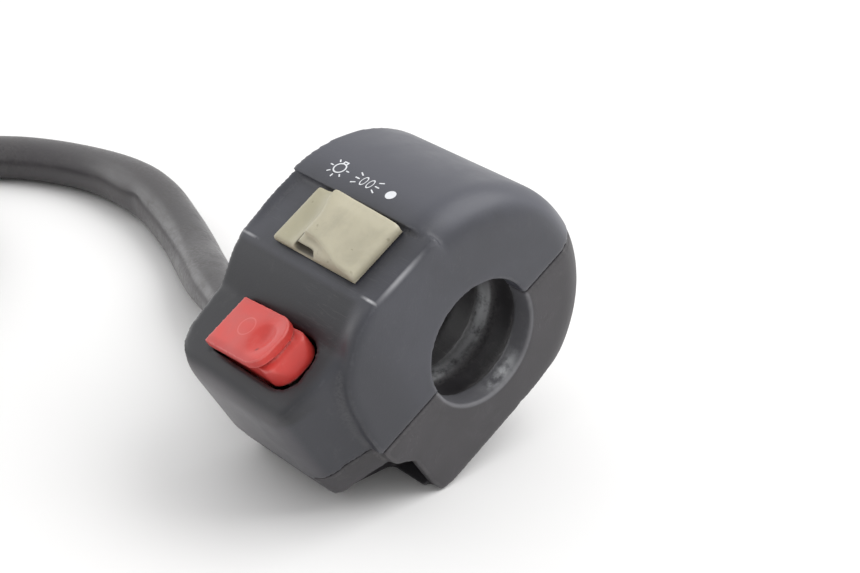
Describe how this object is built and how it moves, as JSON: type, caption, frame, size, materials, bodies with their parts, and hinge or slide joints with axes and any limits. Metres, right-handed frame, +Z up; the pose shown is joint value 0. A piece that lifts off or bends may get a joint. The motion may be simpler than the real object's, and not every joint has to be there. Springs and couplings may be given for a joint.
{
  "type": "handlebar switch cluster",
  "caption": "Right-hand motorbike handlebar switch cluster with a light slide, an engine-stop rocker and a sleeved harness",
  "frame": {"origin": "centre of the handlebar bore at the middle of the housing", "axes": "+X along the bore towards the outboard end, +Z up as the housing lies on a table, +Y across"},
  "size_m": [0.2089, 0.144, 0.052],
  "materials": {
    "shell": "fine grain, worn",
    "clamp_shell": "fine grain, worn",
    "beige": "faded satin",
    "red": "faded satin",
    "carrier": "moulded",
    "phenolic": "laminated board",
    "brass": "stamped",
    "steel": "zinc plated",
    "rubber": "moulded",
    "sleeving": "soft extruded sleeve",
    "leads": "extruded insulation",
    "tape": "wound tape",
    "nylon": "natural nylon"
  },
  "bodies": {
    "housing": {"switch_housing": "shell", "clamp_housing": "clamp_shell", "light_base": "phenolic", "light_contacts": "brass", "light_base_screws": "steel", "kill_pivot_pins": "steel", "kill_base": "phenolic", "kill_contacts": "brass", "kill_base_screws": "steel", "clamp_screws": "steel", "threaded_inserts": "brass", "cable_grommet": "rubber", "cable_clip": "steel", "cable_clip_screw": "steel", "switch_leads": "leads", "harness_sleeve": "sleeving", "harness_coil": "sleeving", "coil_tie": "tape", "tape_wrap": "tape", "connector_wires": "leads", "connector_housing": "nylon", "connector_terminals": "brass"},
    "light_slider": {"light_slide_knob": "beige", "light_carriage": "carrier", "light_moving_contact": "brass", "light_detent_ball": "steel", "light_detent_spring": "steel"},
    "rocker": {"kill_rocker": "red", "kill_plunger": "carrier", "kill_plunger_spring": "steel"},
    "contact_plate": {"kill_contact_plate": "brass"}
  },
  "joints": [
    {"name": "light_slide", "type": "slide", "parent": "housing", "child": "light_slider", "axis": [1, 0, 0], "range_m": [-0.0052, 0.0052]},
    {"name": "stop_rock", "type": "hinge", "parent": "housing", "child": "rocker", "pos_m": [-0.0002, -0.02918, 0.00024], "axis": [0, 0.866, 0.5], "range_deg": [0, 18]},
    {"name": "plate_rock", "type": "hinge", "parent": "housing", "child": "contact_plate", "pos_m": [-0.0002, -0.02578, -0.00565], "axis": [0, 0.866, 0.5], "range_deg": [-16, 0]}
  ],
  "couplings": [
    {"joint": "plate_rock", "follows": "stop_rock", "ratio": -0.888}
  ]
}
